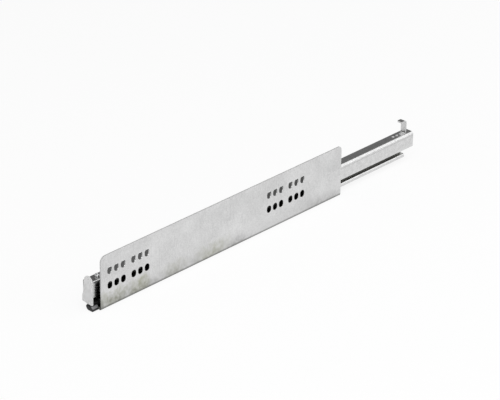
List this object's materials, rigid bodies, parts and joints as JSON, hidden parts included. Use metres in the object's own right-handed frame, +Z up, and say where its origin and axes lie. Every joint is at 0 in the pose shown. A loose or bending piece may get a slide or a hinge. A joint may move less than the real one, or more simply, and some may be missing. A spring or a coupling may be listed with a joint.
{
  "type": "drawer slide",
  "caption": "Right-hand full-extension ball-bearing slide that mounts under a drawer, with a slotted wall plate, nested steel rails, a grey end cap and a rear hook.",
  "frame": {"origin": "on the wall face of the mounting plate, in the second slot column from the front, midway between the two slot rows", "axes": "+X from the front of the cabinet to the rear, +Y from the cabinet wall towards the drawer, +Z up"},
  "size_m": [0.477, 0.0217, 0.0581],
  "materials": {
    "zinc_plate": "zinc-plated sheet steel, satin",
    "zinc_rail": "zinc-plated rolled steel, bright satin",
    "rivet_steel": "zinc-plated steel",
    "ball_steel": "polished hardened steel",
    "cage_plastic": "natural acetal",
    "grey_plastic": "light grey moulded plastic",
    "black_plastic": "black moulded plastic"
  },
  "bodies": {
    "cabinet": {"mounting_plate": "zinc_plate", "cabinet_rail": "zinc_rail", "rail_rivets": "rivet_steel", "front_buffer": "black_plastic"},
    "lower_cage": {"lower_cage": "cage_plastic", "lower_balls_near": "ball_steel", "lower_balls_far": "ball_steel"},
    "middle": {"middle_rail": "zinc_rail", "middle_front_stop": "black_plastic", "middle_rear_stop": "black_plastic"},
    "upper_cage": {"upper_cage": "cage_plastic", "upper_balls_near_top": "ball_steel", "upper_balls_near_bottom": "ball_steel", "upper_balls_far_top": "ball_steel", "upper_balls_far_bottom": "ball_steel"},
    "drawer": {"drawer_rail": "zinc_rail", "front_end_cap": "grey_plastic", "locating_stud": "rivet_steel", "rear_hook": "zinc_rail", "hook_rivets": "rivet_steel", "drawer_rear_stop": "grey_plastic"}
  },
  "joints": [
    {"name": "middle_slide", "type": "slide", "parent": "cabinet", "child": "middle", "axis": [-1, 0, 0], "range_m": [0, 0.225]},
    {"name": "drawer_slide", "type": "slide", "parent": "middle", "child": "drawer", "axis": [-1, 0, 0], "range_m": [0, 0.225]},
    {"name": "lower_cage_slide", "type": "slide", "parent": "cabinet", "child": "lower_cage", "axis": [-1, 0, 0], "range_m": [0, 0.1125]},
    {"name": "upper_cage_slide", "type": "slide", "parent": "middle", "child": "upper_cage", "axis": [-1, 0, 0], "range_m": [0, 0.1125]}
  ],
  "couplings": [
    {"joint": "lower_cage_slide", "follows": "middle_slide", "ratio": 0.5},
    {"joint": "upper_cage_slide", "follows": "drawer_slide", "ratio": 0.5}
  ]
}
